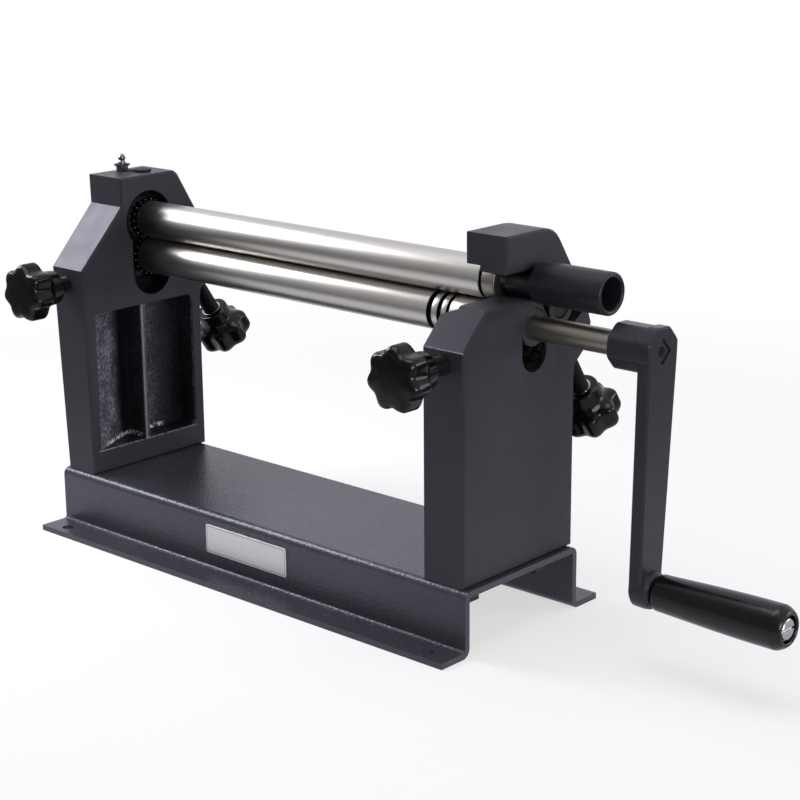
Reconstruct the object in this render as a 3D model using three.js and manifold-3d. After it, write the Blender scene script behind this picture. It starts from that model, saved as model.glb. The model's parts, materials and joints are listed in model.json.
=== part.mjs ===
// Slip roll machine, hand cranked, for a bench. Millimetres, Z up.
// X runs along the rolls with the crank at +X, and Y runs to the back.
// The origin is the middle of the front flange's underside, on the bench. Sizes below are
// written from the base's middle line, FOOT_Y behind the origin.
import * as THREE from 'three';
import { mergeVertices } from 'three/addons/utils/BufferGeometryUtils.js';
import Module from 'manifold-3d';

const wasm = await Module();
wasm.setup();

// Driving sizes: rolls and span
const CLEAR_SPAN = 307.9;        // between the inner faces of the two end frames
const ROLL_D = 25.4;             // all three rolls
const ROLL_GAP = 0.2;            // nip between upper and lower roll at rest
const ROLL_Y = 14;               // upper and lower roll axes
const LOWER_RISE = 147.35;       // lower roll axis above the base's top face
const REAR_DY = 26;              // rear roll axis behind the lower one
const REAR_DZ = 8.15;            // and above it
const ROLL_END_GAP = 1.9;        // roll body to frame face, right end
const JOURNAL_D = 15;            // lower roll's right journal and the rear roll's journals
const LEFT_JOURNAL_D = 12;       // upper and lower roll's left journals and gear seats
const RUN = 0.1;                 // running clearance on a radius
const FIT = 0.3;                 // air gap beside a moving piece

// Driving sizes: base channel
const BASE_W = 108;              // over the two webs
const BASE_H = 41.5;
const FLANGE_W = 21.5;           // each side flange, out from its web
const SHEET_T = 3.9;
const BASE_MARGIN = 4.1;         // base beyond the right frame's outer face
const BEND_R = 5;                // outside radius of the top bends
const FOOT_R = 2;                // inside radius of the flange bends
const FLANGE_HOLE_D = 8;
const FLANGE_HOLE_INSET = 18;    // hole centre from the base's end
const FLANGE_HOLE_OUT = 13;      // hole centre out from the web
const FOOT_OUT = 12;             // middle of a flange's flat underside out from its web
const FOOT_Y = BASE_W / 2 + FOOT_OUT;
const BOLT_FRONT_IN = 14.5;      // frame bolts in from the outsides of the two webs
const BOLT_REAR_IN = 29.5;
const BOLT_IN = 9.4;             // right frame's bolts in from its outer face
const BOLT_D = 10;
const BOLT_HEAD_R = 9.2;         // over the corners
const BOLT_HEAD_H = 6.4;
const BOLT_REACH = 14;           // into the frame's foot
const BOLT_PLAY = 0.4;           // round a bolt in the base's sheet, on a radius

// Driving sizes: bare name plate on the front web
const PLATE_LEFT = -37.5;
const PLATE_RIGHT = 38;
const PLATE_BOTTOM = 13.9;
const PLATE_TOP = 33.7;
const PLATE_CORNER_R = 1.5;
const PLATE_T = 0.8;

// Driving sizes: end frames
const FRAME_T = 31.5;
const FRAME_FRONT = 51.3;        // front face forward of the base's middle
const FRAME_REAR = 54;           // rear face behind the base's middle
const TOP_RISE = 32.4;           // frame top above the upper roll axis
const EDGE = 1.2;                // broken edge round the castings
const SHOULDER_DROP = 26.9;      // front shoulder below the upper roll axis
const SHOULDER_SWELL = 1.8;      // left frame's shoulder forward of its foot
const FOOT_INSET = 3;            // left frame's outer face leans out: its foot is inside the
const HEAD_OUT = 3.1;            // base's end and its head beyond it
const CHEEK_RISE = 12.6;         // top of the front chamfer above the upper axis
const CHEEK_Y = -15.8;           // front face of the frame's head
const POCKET_DEPTH = 17;         // cast pocket in each inner face
const POCKET_TOP_DROP = 32.8;    // pocket top below the lower roll axis
const POCKET_FLOOR = 16;         // pocket bottom above the base's top
const POCKET_FRONT = 45;
const POCKET_REAR = 45.5;
const RAMP_FOOT = 10;            // the front half's floor slopes down to here
const RIB_FRONT = 2.5;           // upright rib between the pocket's halves
const RIB_REAR = 1.5;
const RIB_DROP = 0.8;            // rib's face below the frame's

// Driving sizes: right frame's open slot and hook
const NECK_D = 14.8;             // release sleeve's neck, resting in the slot
const SLOT_H = 17.3;
const SLOT_ROOT = 8.7;           // slot's rear end behind the roll axis
const HOOK_Y = -12.3;            // hook's front face
const LEDGE_Y = -30.3;           // front edge of the slot's lower ledge
const RELIEF_DEPTH = 11.2;       // wider inner part of the slot, for the roll's full diameter
const RELIEF_R = 13.4;
const BUSH_D = 22.9;             // lower right bush
const BUSH_SLOT_DROP = 27.45;    // bottom of the lower bush's slot below the lower axis

// Driving sizes: gears
const TEETH = 18;
const GEAR_W = 5;
const GEAR_IN = 6.2;             // gear's outer side, inside the left frame's inner face
const TOOTH_T = 1.75;            // tooth thickness on the pitch circle
const BALL_R = 15;               // rocker bearing's ball, centred in the upper gear
const OPEN_R = 20.6;             // left frame's round opening
const OPEN_FRONT = 5.4;          // its centre forward of the roll axis
const OPEN_SLOT_R = 17;          // and the slot below it
const OPEN_SLOT_FRONT = 4.4;

// Driving sizes: adjusters
const LIFT = 1.75;               // lower roll's drop, one turn of its screw
const REAR_TRAVEL = 3.5;         // rear roll's travel each way, two turns
const SCREW_D = 11.9;
const BORE_D = 12.2;
const FRONT_SCREW_DROP = 12.85;  // front screw axis below the lower roll axis
const SCREW_DY = 0.552;          // rear screw's direction, unit vector
const SCREW_DZ = -0.834;
const FRONT_NECK = { left: 11.5, right: 15.5 };  // screw showing between front face and knob
const REAR_KNOB_AT = 73.5;       // rear knob's hub from the rear roll axis
const KNOB_D = 40;
const KNOB_LEN = 30;
const LOBES = 7;
const LOBE_DEPTH = 1.6;          // above and below the rim's mean radius
const INSERT_D = 14.4;

// Driving sizes: crank and release sleeve
const HUB_D = 27;                // across the flats of an eight-sided hub
const HUB_CORNER_R = 4;
const HUB_L = 30;
const HUB_OUT = 61.6;            // hub's inner end beyond the right frame
const ARM_T = 8.8;
const ARM_HEAD_BACK = 1.2;       // arm's wide end to the rear of the hub
const CRANK_R = 141;
const CRANK_LEAN = 2.2;          // degrees, arm's lower end toward the front
const ARM_END_W = 22;
const BOSS_D = 23.5;
const BOSS_OUT = 4.5;
const GRIP_L = 86;
const GRIP_D = 26.4;
const GRIP_ROOT_D = 22;
const SQUARE = 10.8;             // square end of the crank shaft
const SLEEVE_D = 25.6;
const SLEEVE_OUT = 56;           // sleeve's outer end beyond the right frame
const SLEEVE_BORE_D = 19.4;
const SLEEVE_RISE = 2.5;         // tube's centre above its neck's
const SHOULDER_GAP = 1.8;        // cone's start beyond the right frame
const SHOULDER_L = 3.4;

// Derived positions
const BASE_L = CLEAR_SPAN + 2 * FRAME_T + BASE_MARGIN;
const LEFT_OUT = -BASE_L / 2;
const LEFT_IN = LEFT_OUT + FRAME_T;
const RIGHT_IN = LEFT_IN + CLEAR_SPAN;
const RIGHT_OUT = RIGHT_IN + FRAME_T;
const R = ROLL_D / 2;
const LOW_Z = BASE_H + LOWER_RISE;
const UP_Z = LOW_Z + ROLL_D + ROLL_GAP;
const TOP_Z = UP_Z + TOP_RISE;
const REAR_Y = ROLL_Y + REAR_DY;
const REAR_Z = LOW_Z + REAR_DZ;
const GEAR_X1 = LEFT_IN - GEAR_IN;
const GEAR_X0 = GEAR_X1 - GEAR_W;
const PIVOT_X = (GEAR_X0 + GEAR_X1) / 2;
const FRONT_Z = LOW_Z - FRONT_SCREW_DROP;
const LEFT_SCREW_X = GEAR_X0 - 1.4 - SCREW_D / 2;
const RIGHT_SCREW_X = (RIGHT_IN + RIGHT_OUT) / 2;
const PITCH_R = (ROLL_D + ROLL_GAP) / 2;
const MODULE = 2 * PITCH_R / TEETH;
const gearTip = PITCH_R + MODULE;

// Mesh and solid helpers
function toSolid(geometry) {
  const g = geometry.clone();
  for (const name of Object.keys(g.attributes)) {
    if (name !== 'position') g.deleteAttribute(name);
  }
  const m = mergeVertices(g, 1e-4);
  return new wasm.Manifold(new wasm.Mesh({
    numProp: 3,
    vertProperties: new Float32Array(m.attributes.position.array),
    triVerts: new Uint32Array(m.index.array),
  }));
}

function toGeometry(solid) {
  const m = solid.getMesh();
  const g = new THREE.BufferGeometry();
  g.setAttribute('position', new THREE.BufferAttribute(new Float32Array(m.vertProperties), 3));
  g.setIndex(new THREE.BufferAttribute(new Uint32Array(m.triVerts), 1));
  g.computeVertexNormals();
  return g;
}

function box(x0, x1, y0, y1, z0, z1) {
  const g = new THREE.BoxGeometry(x1 - x0, y1 - y0, z1 - z0);
  g.translate((x0 + x1) / 2, (y0 + y1) / 2, (z0 + z1) / 2);
  return toSolid(g);
}

// A turned solid: profile points are [distance along axis, radius]
function turned(profile, origin, direction, segments = 32) {
  const pts = profile.map(([t, r]) => new THREE.Vector2(r, t));
  const first = pts[0];
  const last = pts[pts.length - 1];
  if (first.x > 0) pts.unshift(new THREE.Vector2(0, first.y));
  if (last.x > 0) pts.push(new THREE.Vector2(0, last.y));
  const g = new THREE.LatheGeometry(pts, segments);
  const turn = new THREE.Quaternion().setFromUnitVectors(
    new THREE.Vector3(0, 1, 0), new THREE.Vector3(...direction).normalize());
  g.applyQuaternion(turn);
  g.translate(...origin);
  return toSolid(g);
}

function rod(r, t0, t1, origin, direction, segments = 32) {
  return turned([[t0, r], [t1, r]], origin, direction, segments);
}

// A plate between two X positions, from an outline of [y, z] points
function plateX(outline, x0, x1, edge = 0) {
  const shape = new THREE.Shape(outline.map(([y, z]) => new THREE.Vector2(y, z)));
  const g = new THREE.ExtrudeGeometry(shape, {
    depth: x1 - x0 - 2 * edge,
    bevelEnabled: edge > 0,
    bevelThickness: edge,
    bevelSize: edge,
    bevelOffset: -edge,
    bevelSegments: 1,
    curveSegments: 8,
  });
  g.translate(0, 0, x0 + edge);
  g.applyMatrix4(new THREE.Matrix4().set(0, 0, 1, 0, 1, 0, 0, 0, 0, 1, 0, 0, 0, 0, 0, 1));
  return toSolid(g);
}

// A plate between two heights, from an outline of [x, y] points
function plateZ(outline, z0, z1) {
  const g = new THREE.ExtrudeGeometry(new THREE.Shape(outline.map(([x, y]) => new THREE.Vector2(x, y))), {
    depth: z1 - z0,
    bevelEnabled: false,
  });
  g.translate(0, 0, z0);
  return toSolid(g);
}

function arc(cy, cz, r, from, to, steps) {
  const pts = [];
  for (let i = 0; i <= steps; i += 1) {
    const a = THREE.MathUtils.degToRad(from + (to - from) * i / steps);
    pts.push([cy + r * Math.cos(a), cz + r * Math.sin(a)]);
  }
  return pts;
}

// An upright obround outline between two centre heights
function obround(cy, z0, z1, r, steps = 10) {
  return [...arc(cy, z0, r, 180, 360, steps), ...arc(cy, z1, r, 0, 180, steps)];
}

function roundRect(y0, y1, z0, z1, r, steps = 4) {
  return [
    ...arc(y0 + r, z0 + r, r, 180, 270, steps),
    ...arc(y1 - r, z0 + r, r, 270, 360, steps),
    ...arc(y1 - r, z1 - r, r, 0, 90, steps),
    ...arc(y0 + r, z1 - r, r, 90, 180, steps),
  ];
}

// Points in the rear screw's own directions: across is square to the screw, along is down it
function rearPoint(across, along) {
  return [REAR_Y + across * -SCREW_DZ + along * SCREW_DY, REAR_Z + across * SCREW_DY + along * SCREW_DZ];
}

function rearRect(half, up, down) {
  return [rearPoint(-half, -up), rearPoint(-half, down), rearPoint(half, down), rearPoint(half, -up)];
}

function rearObround(r, travel, steps = 10) {
  const pts = [];
  for (const s of [-1, 1]) {
    for (let i = 0; i <= steps; i += 1) {
      const a = Math.PI * i / steps;
      pts.push(rearPoint(-s * r * Math.cos(a), s * (travel + r * Math.sin(a))));
    }
  }
  return pts;
}

const PAINT = new THREE.MeshStandardMaterial({ color: 0x45464c, roughness: 0.55, metalness: 0.1 });
const STEEL = new THREE.MeshStandardMaterial({ color: 0xb9b9bd, roughness: 0.28, metalness: 1 });
const DARK = new THREE.MeshStandardMaterial({ color: 0x26262a, roughness: 0.5, metalness: 0.7 });
const BRIGHT = new THREE.MeshStandardMaterial({ color: 0xc9c9cc, roughness: 0.2, metalness: 1 });
const PLASTIC = new THREE.MeshStandardMaterial({ color: 0x0e0e10, roughness: 0.3, metalness: 0 });
const RUBBER = new THREE.MeshStandardMaterial({ color: 0x1a1a1c, roughness: 0.8, metalness: 0 });
const ALLOY = new THREE.MeshStandardMaterial({ color: 0xcfd0d2, roughness: 0.4, metalness: 0.8 });

const group = new THREE.Group();
group.name = 'slip_roll';

function subGroup(name) {
  const g = new THREE.Group();
  g.name = name;
  group.add(g);
  return g;
}

function add(parent, name, solid, material) {
  const mesh = new THREE.Mesh(toGeometry(solid.translate([0, FOOT_Y, 0])), material);
  mesh.name = name;
  parent.add(mesh);
}

// Base channel: one folded sheet, open underneath
const HALF_W = BASE_W / 2;
const boltYs = [BOLT_FRONT_IN - HALF_W, HALF_W - BOLT_REAR_IN];
const boltXs = { left: (LEFT_OUT + LEFT_IN) / 2, right: RIGHT_OUT - BOLT_IN };

function baseChannel() {
  const out = HALF_W + FLANGE_W;
  const side = [
    ...arc(HALF_W - BEND_R, BASE_H - BEND_R, BEND_R, 90, 0, 4),
    ...arc(HALF_W + FOOT_R, SHEET_T + FOOT_R, FOOT_R, 180, 270, 3),
    [out, SHEET_T],
    [out, 0],
    ...arc(HALF_W + FOOT_R, SHEET_T + FOOT_R, SHEET_T + FOOT_R, 270, 180, 4),
    ...arc(HALF_W - BEND_R, BASE_H - BEND_R, BEND_R - SHEET_T, 0, 90, 3),
  ];
  const mirrored = side.slice().reverse().map(([y, z]) => [-y, z]);
  let body = plateX([...side, ...mirrored], LEFT_OUT, LEFT_OUT + BASE_L);
  for (const x of [LEFT_OUT + FLANGE_HOLE_INSET, LEFT_OUT + BASE_L - FLANGE_HOLE_INSET]) {
    for (const s of [-1, 1]) {
      body = body.subtract(rod(FLANGE_HOLE_D / 2, -1, SHEET_T + 1,
        [x, s * (HALF_W + FLANGE_HOLE_OUT), 0], [0, 0, 1], 24));
    }
  }
  for (const x of Object.values(boltXs)) {
    for (const y of boltYs) {
      const hole = rod(BOLT_D / 2 + BOLT_PLAY, BASE_H - SHEET_T - 1, BASE_H + 1, [x, y, 0], [0, 0, 1], 24);
      body = body.subtract(hole);
    }
  }
  return body;
}

// Rear top corners: a tight one on the left frame, a rounder one on the right
const leftCorner = [[33, TOP_Z], [36.7, TOP_Z - 2.6]];
const rightCorner = [[22, TOP_Z], [27.5, TOP_Z - 0.6], [32, TOP_Z - 2.2], [35.6, TOP_Z - 4.7], [38.8, TOP_Z - 8.5]];

// Frame outline behind the rolls, from the rear top corner down
function frameBack(corner) {
  return [
    ...corner,
    [50.8, REAR_Z + 23.4],
    [68.1, REAR_Z - 7.4],
    [71, REAR_Z - 15],
    [63.5, REAR_Z - 32],
    [55, REAR_Z - 39],
    [FRAME_REAR, REAR_Z - 47],
    [FRAME_REAR, BASE_H],
  ];
}

// Openings that both frames share: front screw bore, rear screw bore, bolt holes
function frameBores(body, screwX, boltX) {
  let b = body.subtract(rod(BORE_D / 2, -FRAME_FRONT - 5, ROLL_Y, [screwX, 0, FRONT_Z], [0, 1, 0], 32));
  b = b.subtract(rod(BORE_D / 2, 4, 60, [screwX, REAR_Y, REAR_Z], [0, SCREW_DY, SCREW_DZ], 32));
  for (const y of boltYs) {
    b = b.subtract(rod(BOLT_D / 2 + RUN, BASE_H - 1, BASE_H + BOLT_REACH + 1, [boltX, y, 0], [0, 0, 1], 24));
  }
  return b;
}

// Cast pocket in an inner face, in two halves beside a low rib: the front half's floor slopes
// in from the face, and the rear half's is deep all over
function pocket(xFace, inward) {
  const z0 = BASE_H + POCKET_FLOOR;
  const z1 = LOW_Z - POCKET_TOP_DROP;
  const at = (depth) => xFace + inward * depth;
  const slope = (POCKET_FRONT - RAMP_FOOT) / POCKET_DEPTH;
  const ends = [at(-1), at(POCKET_DEPTH)].sort((p, q) => p - q);
  const outline = plateX(roundRect(-POCKET_FRONT - slope, POCKET_REAR, z0, z1, 5), ends[0], ends[1]);
  const front = plateZ([
    [at(-1), -POCKET_FRONT - slope],
    [at(POCKET_DEPTH), -RAMP_FOOT],
    [at(POCKET_DEPTH), -RIB_FRONT],
    [at(-1), -RIB_FRONT],
  ], z0, z1);
  const rear = plateZ([
    [at(-1), RIB_REAR],
    [at(POCKET_DEPTH), RIB_REAR],
    [at(POCKET_DEPTH), POCKET_REAR],
    [at(-1), POCKET_REAR],
  ], z0, z1);
  const overRib = plateZ([
    [at(-1), -RIB_FRONT - 1],
    [at(RIB_DROP), -RIB_FRONT - 1],
    [at(RIB_DROP), RIB_REAR + 1],
    [at(-1), RIB_REAR + 1],
  ], z0, z1);
  return outline.intersect(front.add(rear).add(overRib));
}

// Moves the outer side of the left frame: in at its foot and out at its head
function leaned(plate) {
  return plate.warp((v) => {
    const rise = (v[2] - BASE_H) / (TOP_Z - BASE_H);
    if (v[0] < LEFT_OUT + 2 * EDGE) v[0] += FOOT_INSET - (FOOT_INSET + HEAD_OUT) * rise;
  });
}

function leftFrame() {
  const outline = [
    [-FRAME_FRONT, BASE_H],
    [-FRAME_FRONT - SHOULDER_SWELL, UP_Z - SHOULDER_DROP],
    [CHEEK_Y, UP_Z + CHEEK_RISE],
    [CHEEK_Y, TOP_Z],
    ...frameBack(leftCorner),
  ].reverse();
  let b = leaned(plateX(outline, LEFT_OUT, LEFT_IN, EDGE));
  const outside = LEFT_OUT - HEAD_OUT - 2;
  const recess = GEAR_X0 - 1;
  const openY = ROLL_Y - OPEN_FRONT;
  b = b.subtract(plateX(arc(openY, UP_Z + 0.8, OPEN_R, 0, 348, 29), recess, LEFT_IN + 1));
  b = b.subtract(plateX(obround(ROLL_Y - OPEN_SLOT_FRONT, LOW_Z - 10.4, UP_Z, OPEN_SLOT_R), recess, LEFT_IN + 1));
  b = b.subtract(plateX(obround(ROLL_Y, LOW_Z - LIFT, LOW_Z, gearTip + 1), recess, LEFT_IN + 1));
  const bowl = turned(
    arc(0, 0, BALL_R + 0.15, 180, 0, 16).map(([t, r]) => [t, Math.max(r, 0)]),
    [PIVOT_X, ROLL_Y, UP_Z], [1, 0, 0]);
  b = b.subtract(bowl);
  // Slot for the lower left block, open to the outer face
  const half = leftBlockHalf + 0.15;
  const foot = leftBlockFoot - LIFT - 0.8;
  const slot = [[ROLL_Y - half, foot], [ROLL_Y + half, foot], ...arc(ROLL_Y, LOW_Z, half, 0, 180, 12)];
  b = b.subtract(plateX(slot, outside, recess + 1));
  // Inclined slot for the rear block, and the narrower way in for the rear roll's journal
  b = b.subtract(plateX(rearRect(leftRearHalf + 0.15, leftRearUp + REAR_TRAVEL + 0.4,
    leftRearUp + REAR_TRAVEL + 1.5), outside, recess + 0.5));
  b = b.subtract(plateX(rearObround(JOURNAL_D / 2 + 0.8, REAR_TRAVEL), recess, LEFT_IN + 1));
  b = b.subtract(pocket(LEFT_IN, -1));
  b = b.subtract(rod(3.1, TOP_Z - 7, TOP_Z + 1, [nippleX, nippleY, 0], [0, 0, 1], 20));
  return frameBores(b, LEFT_SCREW_X, boltXs.left);
}

function rightFrame() {
  const floor = UP_Z - NECK_D / 2 - RUN;
  const roof = floor + SLOT_H;
  const rootR = SLOT_H / 2;
  const rootY = ROLL_Y + SLOT_ROOT - rootR;
  const outline = [
    [-FRAME_FRONT, BASE_H],
    [-FRAME_FRONT, UP_Z - SHOULDER_DROP - 2.5],
    [LEDGE_Y, floor],
    ...arc(rootY, floor + rootR, rootR, 270, 450, 10),
    [HOOK_Y, roof],
    [HOOK_Y, TOP_Z],
    ...frameBack(rightCorner),
  ].reverse();
  let b = plateX(outline, RIGHT_IN, RIGHT_OUT, EDGE);
  // Wider inner part of the slot, open to the front, and the drop behind its ledge
  const reliefIn = RIGHT_IN + RELIEF_DEPTH;
  const relief = [
    [-FRAME_FRONT - 5, UP_Z - RELIEF_R],
    ...arc(ROLL_Y, UP_Z, RELIEF_R, 270, 450, 14),
    [-FRAME_FRONT - 5, UP_Z + RELIEF_R],
  ];
  b = b.subtract(plateX(relief, RIGHT_IN - 1, reliefIn));
  b = b.subtract(box(RIGHT_IN - 1, reliefIn, -12.5, ROLL_Y + 8, LOW_Z + 6, UP_Z - 8));
  // Lower bush's slot, right through
  const half = BUSH_D / 2 + 0.15;
  const slot = obround(ROLL_Y, LOW_Z - BUSH_SLOT_DROP + half, LOW_Z + 0.4, half);
  b = b.subtract(plateX(slot, RIGHT_IN - 1, RIGHT_OUT + 1));
  b = b.subtract(plateX(rearRect(rightRearHalf + 0.15, rightRearUp + REAR_TRAVEL + 0.4,
    rightRearUp + REAR_TRAVEL + 1.5), RIGHT_IN - 1, RIGHT_OUT + 1));
  b = b.subtract(pocket(RIGHT_IN, 1));
  return frameBores(b, RIGHT_SCREW_X, boltXs.right);
}

// Bearing pieces under and behind the rolls
const leftBlockHalf = 9.9;
const leftBlockFoot = LOW_Z - 14.85;
const leftRearHalf = 11.85;
const leftRearUp = 10;
const rightRearHalf = 13.35;
const rightRearUp = 12.2;
const leftBushR = 9.4;
const rightBushR = 11.4;
const nippleX = LEFT_OUT + 5;
const nippleY = 8.3;

// Both wedges share this slope: y plus z is constant on the lifting face
const wedgeSum = ROLL_Y + LOW_Z - (BUSH_D / 2 + FIT) * Math.SQRT2;
const leftBlockX0 = LEFT_OUT + 0.5;
const leftBlockX1 = GEAR_X0 - 1.7;

function lowerLeftBlock() {
  const top = arc(ROLL_Y, LOW_Z, leftBlockHalf, 0, 180, 12);
  const cut = wedgeSum + FIT * Math.SQRT2;
  const outline = [
    ...top,
    [ROLL_Y - leftBlockHalf, cut - ROLL_Y + leftBlockHalf],
    [cut - leftBlockFoot, leftBlockFoot],
    [ROLL_Y + leftBlockHalf, leftBlockFoot],
  ];
  const b = plateX(outline, leftBlockX0, leftBlockX1);
  return b.subtract(rod(LEFT_JOURNAL_D / 2 + RUN, leftBlockX0 - 1, leftBlockX1 + 1,
    [0, ROLL_Y, LOW_Z], [1, 0, 0]));
}

function ringX(x0, x1, y, z, outer, inner, segments = 32) {
  return rod(outer, x0, x1, [0, y, z], [1, 0, 0], segments)
    .subtract(rod(inner, x0 - 1, x1 + 1, [0, y, z], [1, 0, 0], segments));
}

function rearBlock(half, up, x0, x1, boreR) {
  const b = plateX(rearRect(half, up, up), x0, x1);
  return b.subtract(rod(boreR, x0 - 1, x1 + 1, [0, REAR_Y, REAR_Z], [1, 0, 0]));
}

function rockerBall() {
  const pts = [];
  for (let i = 0; i <= 5; i += 1) {
    const t = -4.3 - 8.2 * i / 5;
    pts.push([t, Math.sqrt(BALL_R * BALL_R - t * t)]);
  }
  const ball = turned(pts.reverse(), [PIVOT_X, ROLL_Y, UP_Z], [1, 0, 0]);
  return ball.subtract(rod(LEFT_JOURNAL_D / 2 + RUN, -20, 0, [PIVOT_X, ROLL_Y, UP_Z], [1, 0, 0]));
}

// Rolls
const bodyX0 = GEAR_X1 + 0.3;
const bodyX1 = RIGHT_IN - ROLL_END_GAP;
const neckX0 = RIGHT_IN + 14.1;

function upperRoll() {
  const j = LEFT_JOURNAL_D / 2;
  return turned([
    [PIVOT_X - BALL_R + 1.1, j - 0.8],
    [PIVOT_X - BALL_R + 1.7, j],
    [bodyX0, j],
    [bodyX0, R - 0.6],
    [bodyX0 + 0.6, R],
    [bodyX1 - 0.4, R],
    [bodyX1, R - 0.4],
    [bodyX1, R - 2],
    [RIGHT_IN + 0.2, R - 2],
    [RIGHT_IN + 0.2, R - 0.3],
    [RIGHT_IN + 0.6, R],
    [RIGHT_IN + 9.7, R],
    [RIGHT_IN + 10.1, R - 0.4],
    [RIGHT_IN + 10.1, 5.5],
    [RIGHT_OUT + 15.4, 5.5],
    [RIGHT_OUT + 16, 4.9],
  ], [0, ROLL_Y, UP_Z], [1, 0, 0], 36);
}

// Wire grooves of three sizes near the lower roll's right end: [distance from the end, half width]
const grooves = [[39.3, 2], [31.2, 1.7], [24.4, 1.3]];
const shaftEnd = RIGHT_OUT + HUB_OUT;

function lowerRoll() {
  const j = LEFT_JOURNAL_D / 2;
  const s = JOURNAL_D / 2;
  const profile = [
    [leftBlockX0 + 0.3, j - 0.6],
    [leftBlockX0 + 0.9, j],
    [bodyX0, j],
    [bodyX0, R - 0.6],
    [bodyX0 + 0.6, R],
  ];
  for (const [from, w] of grooves) {
    const x = bodyX1 - from;
    for (const a of [180, 240, 300, 360]) {
      const c = THREE.MathUtils.degToRad(a);
      profile.push([x + w * Math.cos(c), R + w * Math.sin(c)]);
    }
  }
  profile.push([bodyX1 - 0.6, R], [bodyX1, R - 0.6], [bodyX1, s], [shaftEnd + 1.8, s]);
  const body = turned(profile, [0, ROLL_Y, LOW_Z], [1, 0, 0], 36);
  const end = squareBar(SQUARE, shaftEnd - 2, shaftEnd + HUB_L - 1);
  const round = rod(s, shaftEnd - 3, shaftEnd + HUB_L, [0, ROLL_Y, LOW_Z], [1, 0, 0], 36);
  const centre = turned([[shaftEnd + HUB_L - 5, 0], [shaftEnd + HUB_L, 3]], [0, ROLL_Y, LOW_Z], [1, 0, 0], 24);
  return body.add(end.intersect(round)).subtract(centre);
}

// A square bar on the crank shaft's axis, corners up and down along the leaning arm
function squareBar(size, x0, x1) {
  const pts = [];
  for (let i = 0; i < 4; i += 1) {
    const a = THREE.MathUtils.degToRad(90 - CRANK_LEAN + 90 * i);
    pts.push([ROLL_Y + size * Math.SQRT1_2 * Math.cos(a), LOW_Z + size * Math.SQRT1_2 * Math.sin(a)]);
  }
  return plateX(pts, x0, x1);
}

function rearRoll() {
  const s = JOURNAL_D / 2;
  return turned([
    [LEFT_OUT + 1.2, s - 0.8],
    [LEFT_OUT + 2, s],
    [LEFT_IN + ROLL_END_GAP, s],
    [LEFT_IN + ROLL_END_GAP, R - 0.6],
    [LEFT_IN + ROLL_END_GAP + 0.6, R],
    [bodyX1 - 0.6, R],
    [bodyX1, R - 0.6],
    [bodyX1, s],
    [RIGHT_OUT - 2, s],
    [RIGHT_OUT - 1.2, s - 0.8],
  ], [0, REAR_Y, REAR_Z], [1, 0, 0], 36);
}

// Gears: involute flanks thinned for the swing, radial below the base circle
function gear(z, phase) {
  const root = PITCH_R - 1.25 * MODULE;
  const pressure = THREE.MathUtils.degToRad(20);
  const baseR = PITCH_R * Math.cos(pressure);
  const inv = (a) => Math.tan(a) - a;
  const halfAt = (r) => {
    const a = r <= baseR ? 0 : Math.acos(baseR / r);
    return TOOTH_T / 2 / PITCH_R + inv(pressure) - inv(a);
  };
  const radii = [root, baseR + 0.1, PITCH_R, gearTip];
  const pts = [];
  for (let i = 0; i < TEETH; i += 1) {
    const mid = THREE.MathUtils.degToRad(phase) + 2 * Math.PI * i / TEETH;
    for (const r of radii) pts.push([r, mid - halfAt(r)]);
    for (const r of radii.slice().reverse()) pts.push([r, mid + halfAt(r)]);
  }
  const outline = pts.map(([r, a]) => [ROLL_Y + r * Math.cos(a), z + r * Math.sin(a)]);
  const wheel = plateX(outline, GEAR_X0, GEAR_X1);
  return wheel.subtract(rod(LEFT_JOURNAL_D / 2 + 0.05, GEAR_X0 - 1, GEAR_X1 + 1,
    [0, ROLL_Y, z], [1, 0, 0]));
}

// Lifting wedge: a plunger in the front screw's bore with a 45 degree nose under the bearing
const wedgeBack = -18;

function wedge(x) {
  const tipY = wedgeSum - FRONT_Z + 1;
  const plunger = rod(SCREW_D / 2, wedgeBack, tipY, [x, 0, FRONT_Z], [0, 1, 0], 32);
  const y0 = wedgeBack - 5;
  const keep = plateX([
    [y0, FRONT_Z - 20],
    [tipY + 5, FRONT_Z - 20],
    [tipY + 5, wedgeSum - tipY - 5],
    [y0, wedgeSum - y0],
  ], x - 20, x + 20);
  return plunger.intersect(keep);
}

// Star knob: lobed head on a flared round hub, along t from the hub's end
const knobRings = [
  [0, 10.6, 0],
  [0.8, 11.6, 0],
  [9, 12.2, 0],
  [12.5, 14.6, 0.2],
  [14.6, 17.6, 0.9],
  [16, KNOB_D / 2 - LOBE_DEPTH, 1],
  [26.5, KNOB_D / 2 - LOBE_DEPTH, 1],
  [KNOB_LEN, KNOB_D / 2 - LOBE_DEPTH - 3, 0.75],
];

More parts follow.
